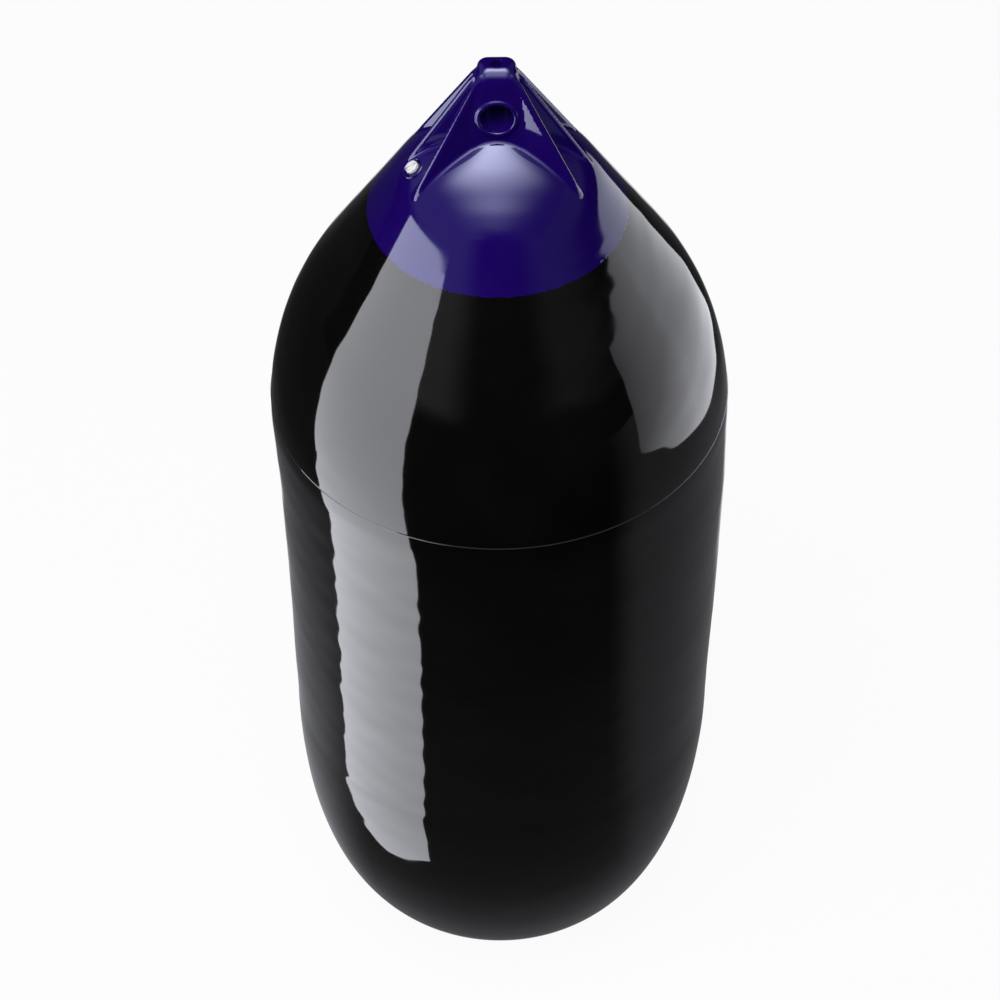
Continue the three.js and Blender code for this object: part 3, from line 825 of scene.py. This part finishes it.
@dataclass
class Valve:
    """The screw valve: a plug with a real thread, its washer, and the insert moulded into the ropehold."""

    origin: Vector
    axis: Vector
    shank: float = 0.004
    pitch: float = 0.002
    thread_depth: float = 0.00055
    seat: float = 0.0003
    head_radius: float = 0.0075
    head_height: float = 0.0044
    head_fillet: float = 0.0016
    slot_width: float = 0.0018
    slot_depth: float = 0.002
    shank_length: float = 0.0135
    thread_rows: int = 110
    thread_run_out: float = 0.0015
    head_chamfer: float = 0.0004
    columns: int = 96
    lip_columns: int = 20
    lip_radius: float = 0.0118
    lip_width: float = 0.0015
    lip_height: float = 0.0013
    blue: Vinyl = Vinyl("blue_lip", BLUE, BLUE_WORN, roughness=0.07)
    white: Plastic = Plastic("white_plastic", (0.76, 0.77, 0.8), (0.36, 0.37, 0.42), roughness=0.2)
    grey: Plastic = Plastic("grey_plastic", (0.05, 0.045, 0.17), (0.03, 0.025, 0.1), roughness=0.3)
    rubber: Plastic = Plastic("black_rubber", (0.02, 0.02, 0.02), (0.05, 0.05, 0.05), roughness=0.5)

    def placed(self, points: Array) -> Array:
        """Turns points from the valve's own axes into the frame's."""
        turn = Vector((0, 0, 1)).rotation_difference(self.axis).to_matrix()
        return points @ np.array(turn).T + np.array(self.origin)

    def plug(self) -> bpy.types.Object:
        """Builds the plug: a threaded shank that runs into a filleted head, cut by a slot.

        The thread is r = shank - depth (1 - t), with t a triangle wave, cut flat at its crest and
        root, of the height less one pitch for each turn, faded out at the tip and under the head.

        Returns:
            The piece that stands for the plug node.
        """
        tip = self.seat - self.shank_length
        rows = np.linspace(tip, self.seat, self.thread_rows)
        angle = full_turn(self.columns)
        wave = np.abs(((rows[:, None] - self.pitch * angle / (2 * math.pi)) / self.pitch) % 1.0 - 0.5) * 2
        crest = np.clip(wave * 1.3 - 0.12, 0, 1)
        run_out = self.thread_run_out
        fade = (np.clip((rows - tip) / run_out, 0, 1) * np.clip((self.seat - rows) / run_out, 0, 1))[:, None]
        thread = self.shank - self.thread_depth * (1 - crest * fade)
        thread = thread - 0.0008 * np.clip(1 - (rows - tip) / 0.001, 0, 1)[:, None]
        bend = np.linspace(0, math.pi / 2, 9)
        core = self.head_radius - self.head_fillet
        top = self.seat + self.head_height
        under = [self.head_radius - self.head_chamfer, self.head_radius]
        head_r = np.concatenate([under, core + self.head_fillet * np.cos(bend)])
        under = [self.seat, self.seat + self.head_chamfer]
        head_z = np.concatenate([under, top - self.head_fillet * (1 - np.sin(bend))])
        flat = np.array([core * 0.8, core * 0.5, core * 0.2])
        head_r, head_z = np.concatenate([head_r, flat]), np.concatenate([head_z, np.full(3, top + 0.0001)])
        pole = np.zeros((1, self.columns))
        radius = np.concatenate([pole, thread, head_r[:, None] * np.ones(self.columns), pole])
        height = np.concatenate([[tip], rows, head_z, [top + 0.0001]])
        plug = revolve("plug_screw", radius, height, self.columns)
        cutter = put_in_scene("slot_tool", *self.slot_block(top))
        cut = plug.modifiers.new("slot", "BOOLEAN")
        cut.operation, cut.object, cut.solver = "DIFFERENCE", cutter, "EXACT"
        bpy.context.view_layer.update()
        done = bpy.data.meshes.new_from_object(plug.evaluated_get(bpy.context.evaluated_depsgraph_get()))
        plug.modifiers.clear()
        plug.data = done
        bpy.data.objects.remove(cutter)
        points = np.empty(len(done.vertices) * 3, np.float32)
        done.vertices.foreach_get("co", points)
        done.vertices.foreach_set("co", self.placed(points.reshape(-1, 3)).astype(np.float32).ravel())
        done.set_sharp_from_angle(angle=math.radians(40))
        done.update()
        return plug

    def slot_block(self, top: float) -> tuple[Array, list]:
        """Vertices and faces of the block that cuts the slot, along the valve's own X."""
        x, y = 1.5 * self.head_radius, self.slot_width / 2
        z = (top - self.slot_depth, top + self.slot_depth)
        points = np.array([[a, b, c] for c in z for a, b in ((-x, -y), (x, -y), (x, y), (-x, y))])
        faces = np.array([[3, 2, 1, 0], [4, 5, 6, 7], [0, 1, 5, 4], [1, 2, 6, 5], [2, 3, 7, 6], [3, 0, 4, 7]])
        return points, [faces]

    def build(self, nodes: dict) -> None:
        """Builds the plug and the lip, and dresses the insert and the washer.

        Args:
            nodes: The CAD nodes by name.
        """
        plug = self.plug()
        plug.data.materials.clear()
        plug.data.materials.append(self.white.build())
        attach(plug, "plug")
        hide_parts("valve_plug")
        for node, finish in (("valve_insert", self.grey), ("valve_seal", self.rubber)):
            nodes[node].data.materials.clear()
            nodes[node].data.materials.append(finish.build())
        lip = self.lip()
        lip.data.materials.append(self.blue.build())
        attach(lip, "fender")
        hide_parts("ropehold")
        LOG.info("plug_screw: %d faces", len(plug.data.polygons))

    def lip(self) -> bpy.types.Object:
        """Builds the round lip that stands up from the ropehold round the valve's recess: a flat torus."""
        turn = full_turn(self.columns)[:, None]
        tube = full_turn(self.lip_columns)[None, :]
        radius = self.lip_radius + self.lip_width * np.cos(tube)
        rise = self.lip_height * np.sin(tube) + 0 * turn
        points = np.stack([radius * np.cos(turn), radius * np.sin(turn), rise], axis=-1)
        faces = grid_faces(self.columns, self.lip_columns, True)[:, ::-1]
        return put_in_scene("valve_lip", self.placed(points.reshape(-1, 3)), [faces])


@dataclass
class Studio:
    """Pale floor, soft lamps, and the boards that a glossy black object is photographed with."""

    floor_radius: float = 30.0
    wall_height: float = 6.0
    floor_colour: float = 0.82
    white_share: float = 0.95
    world_level: float = 0.16
    ring_points: int = 96
    tent_radius: float = 9.0
    darkness: float = 0.004
    tint: Triple = (0.97, 0.98, 1.05)
    softbox_height: float = 3.42
    softbox_lobes: tuple[tuple[float, ...], ...] = (
        (14.0, 0.0, 0.62, 1.6), (3.0, -1.5, 0.7, 2), (0.8, -2.8, 0.8, 2))
    lamps: tuple[tuple, ...] = (("key", (-0.4, -1.2, 3.6), 1.6, 72.0), ("fill", (-2.6, -1.6, 1.6), 1.2, 32.0))
    lamp_aim: Triple = (0.0, 0.0, 0.8)
    lens: float = 202.79
    camera_place: Triple = (0.0, -4.4599, 5.1802)
    camera_down: float = math.radians(45.665)
    camera_lean: float = math.radians(-0.5)
    camera_shift: float = -0.0003

    def glowing(self, name: str, points: Array, faces: list, levels: Array) -> None:
        """Adds a surface that only reflections show, with its own glow at each point, where 1 is white.

        Args:
            name: The surface's name.
            points: Vertices, one row each.
            faces: Faces, as rows of indices.
            levels: Glow of each vertex.
        """
        mesh = bpy.data.meshes.new(name)
        mesh.from_pydata(np.asarray(points).tolist(), [], np.asarray(faces).tolist())
        glows = mesh.attributes.new("glow", "FLOAT", "POINT").data
        glows.foreach_set("value", np.asarray(levels, float).ravel())
        nodes = Nodes(name)
        read = nodes.add("ShaderNodeAttribute")
        read.attribute_name = "glow"
        glow = nodes.add("ShaderNodeEmission")
        glow.inputs["Color"].default_value = (*self.tint, 1.0)
        nodes.link(read.outputs["Fac"], glow.inputs["Strength"])
        nodes.link(glow.outputs["Emission"], nodes.output.inputs["Surface"])
        mesh.materials.append(nodes.material)
        board = bpy.data.objects.new(name, mesh)
        bpy.context.scene.collection.objects.link(board)
        board.visible_camera = board.visible_diffuse = board.visible_shadow = False
        board.visible_transmission = board.visible_volume_scatter = False

    def board(self, name: str, corners: list[Triple], levels: list[float]) -> None:
        """Adds one flat board with a glow for each corner."""
        self.glowing(name, np.array(corners), [list(range(len(corners)))], np.array(levels))

    def floor(self) -> None:
        """Adds the pale floor and a low wall far round it, which meet the camera as near white."""
        count = self.ring_points
        ring = full_turn(count)
        circle = self.floor_radius * np.stack([np.cos(ring), np.sin(ring), 0 * ring], axis=-1)
        top = circle + np.array([0, 0, self.wall_height])
        points = np.concatenate([circle, top, [[0.0, 0.0, 0.0]]])
        here = np.arange(count)
        after = (here + 1) % count
        disc = np.stack([here, after, np.full(count, 2 * count)], axis=-1)
        wall = np.stack([here, here + count, after + count, after], axis=-1)
        floor = put_in_scene("floor", points, [disc, wall])
        nodes = Nodes("pale_floor")
        path = nodes.add("ShaderNodeLightPath")
        seen = nodes.maths("MAXIMUM", path.outputs["Is Camera Ray"], path.outputs["Is Glossy Ray"])
        seen = nodes.maths("MAXIMUM", seen, path.outputs["Is Transmission Ray"])
        share = nodes.scaled(seen, self.white_share, 0.0)
        paint = nodes.add("ShaderNodeBsdfDiffuse")
        paint.inputs["Color"].default_value = (self.floor_colour, self.floor_colour, self.floor_colour, 1)
        white = nodes.add("ShaderNodeEmission")
        mix = nodes.add("ShaderNodeMixShader")
        nodes.link(share, mix.inputs["Fac"])
        nodes.link(paint.outputs["BSDF"], mix.inputs[1])
        nodes.link(white.outputs["Emission"], mix.inputs[2])
        nodes.link(mix.outputs["Shader"], nodes.output.inputs["Surface"])
        floor.data.materials.append(nodes.material)

    def boards(self) -> None:
        """Places the tent, its floor, the light panels at the left and right, and the softboxes overhead."""
        self.tent()
        self.tent_floor()
        left, low = -1.5, 0.008
        self.board("left_floor_panel", [
            (-0.19, -0.31, low), (left, -1.60, low), (left, 0.02, low), (-0.75, -0.04, low),
            (-0.44, -0.10, low), (-0.27, -0.21, low)], [3.9, 4.6, 4.6, 4.2, 4.0, 3.9])
        self.board("left_panel", [
            (left, 0.04, 0.0), (left, -1.6, 0.0), (left, -1.6, 1.63), (left, 0.04, 1.25)], [4.5, 4.6, 5.3, 5.3])
        front, fold, back = (2.55, -1.12), (1.55, 0.31), (0.92, 1.22)
        self.board("right_panel_front", [(*front, 0.0), (*front, 1.39), (*fold, 1.05), (*fold, 0.0)],
                   [0.8, 0.7, 1.8, 3.3])
        self.board("right_panel_back", [(*fold, 0.0), (*fold, 1.05), (*back, 0.9), (*back, 0.0)],
                   [3.3, 1.8, 1.0, 2.4])
        self.softbox()

    def tent(self) -> None:
        """Adds the dark dome that reflections meet, with pale drapes high at the left and right."""
        rise = np.radians(np.concatenate([np.linspace(0, 30, 16), np.linspace(34, 90, 15)]))
        turn = full_turn(144)
        up, side = np.meshgrid(rise, turn, indexing="ij")
        out = np.cos(up)
        points = self.tent_radius * np.stack([out * np.sin(side), -out * np.cos(side), np.sin(up)], axis=-1)
        azimuth = signed_degrees(side)
        away = np.abs(azimuth - 2)
        drapes = smooth_step(away, 14, 38) * smooth_step(away, 150, 110) * smooth_step(np.degrees(up), 12, 20)
        level = self.darkness + drapes * np.where(azimuth < 0, 0.3, 0.12)
        self.glowing("tent", points.reshape(-1, 3), grid_faces(*level.shape)[:, ::-1], level)

    def tent_floor(self) -> None:
        """Adds the tent's floor, which only reflections show: dark in front, with a painted pool of light near
        the fender, and brighter at its right and behind it.
        """
        near = [0.06, 0.2, 0.25, 0.3, 0.36, 0.43, 0.5, 0.58, 0.67, 0.77, 0.9, 1.05, 1.25, 1.5, 1.9, 2.6, 4.5]
        radius = np.array([*near, self.tent_radius])
        turn = full_turn(240)
        r, a = np.meshgrid(radius, turn, indexing="ij")
        x, y = r * np.sin(a), -r * np.cos(a)
        azimuth = signed_degrees(a)
        left = smooth_step(azimuth, -60, -100) + smooth_step(azimuth, 140, 170)
        right = smooth_step(azimuth, 48, 68) * smooth_step(azimuth, 170, 140)
        right_dark = 1 - 0.85 * smooth_step(azimuth, 115, 140) * smooth_step(r, 1.0, 1.4)
        front = 1 - left - right
        # Painted light: a pool of glow round the fender's foot, standing in for the lit floor there as
        # reflections show it.
        painted_floor_light = 0.08 * np.exp(-(((r - 0.25) / 0.42) ** 2)) + 0.12 * np.exp(-(((r - 0.2) / 0.07) ** 2))
        level = front * painted_floor_light
        level += right * right_dark * 0.16
        level += left * (0.02 + 0.36 * np.exp(-(((r - 0.25) / 0.5) ** 2)))
        level += 0.05 * smooth_step(np.abs(azimuth), 145, 168) + self.darkness
        behind = smooth_step(y, 0.35, 0.7) * smooth_step(x, -0.42, -0.3) * smooth_step(x, 0.48, 0.36)
        level = level * (1 - behind) + 0.9 * behind
        points = np.stack([x, y, np.full(x.shape, 0.004)], axis=-1).reshape(-1, 3)
        self.glowing("tent_floor", points, grid_faces(*level.shape), level)

    def softbox(self) -> None:
        """Adds the overhead softboxes: a bright one over the fender and two weaker ones in front of it.

        Each glows as L exp(-(d / w)^p) by the distance d from its middle line, with soft ends along X
        and a faint spread beyond them at both sides.
        """
        back, front, reach, count = 1.2, 4.6, 4.2, 85
        gx, gy = np.meshgrid(np.linspace(-reach, reach, count), np.linspace(-front, back, count))
        points = np.stack([gx.ravel(), gy.ravel(), np.full(gx.size, self.softbox_height)], axis=-1)
        quads = grid_faces(count, count, closed_columns=False)
        levels = sum(top * np.exp(-((np.abs(gy - y) / w) ** p)) for top, y, w, p in self.softbox_lobes)
        levels = levels * np.exp(-(((gx + 0.25) / 1.35) ** 2)) + self.darkness
        levels += 0.3 * smooth_step(gx, -0.4, -2.0) + 0.08 * smooth_step(gx, 0.5, 2.2)
        self.glowing("softbox", points, quads, levels)

    def lamp(self, name: str, place: Triple, size: float, power: float) -> None:
        """Adds a square area lamp that looks at the fender's upper half and stays out of reflections."""
        data = bpy.data.lights.new(name, "AREA")
        data.size, data.energy = size, power
        lamp = bpy.data.objects.new(name, data)
        bpy.context.scene.collection.objects.link(lamp)
        lamp.location = place
        lamp.rotation_euler = (Vector(self.lamp_aim) - Vector(place)).to_track_quat("-Z", "Y").to_euler()
        lamp.visible_camera = lamp.visible_glossy = False

    def world(self) -> None:
        """Sets an even, dim surround."""
        world = bpy.data.worlds.new("surround")
        world.use_nodes = True
        back = world.node_tree.nodes["Background"]
        back.inputs["Color"].default_value = (1, 1, 1, 1)
        back.inputs["Strength"].default_value = self.world_level
        bpy.context.scene.world = world

    def camera(self) -> None:
        """Places the camera where the photograph was taken from: high in front, with a long lens."""
        data = bpy.data.cameras.new("camera")
        data.sensor_width, data.lens = 36.0, self.lens
        data.dof.use_dof = False
        data.clip_end = 100.0
        camera = bpy.data.objects.new("camera", data)
        camera.location = self.camera_place
        pitch = Euler((math.pi / 2 - self.camera_down, 0.0, 0.0)).to_matrix()
        camera.rotation_euler = (pitch @ Euler((0.0, 0.0, self.camera_lean)).to_matrix()).to_euler()
        data.shift_x = self.camera_shift
        bpy.context.scene.collection.objects.link(camera)
        bpy.context.scene.camera = camera

    def build(self) -> None:
        """Builds the whole studio."""
        self.camera()
        self.floor()
        self.boards()
        self.world()
        for lamp in self.lamps:
            self.lamp(*lamp)
        bpy.context.scene.view_settings.view_transform = "Standard"


def main() -> None:
    """Loads the frame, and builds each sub-assembly and the studio."""
    logging.basicConfig(level=logging.INFO, format="%(name)s %(message)s")
    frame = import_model()
    section = Section()
    turn = next(joint for joint in frame["joints"] if joint["name"] == "plug_turn")
    origin, axis = Vector(turn["pos_m"]), Vector(turn["axis"]).normalized()
    FenderBody(section).build()
    Ropehold(section, valve_origin=origin, valve_axis=axis).build()
    Valve(origin, axis).build(frame["nodes"])
    Studio().build()


if __name__ == "__main__":
    main()
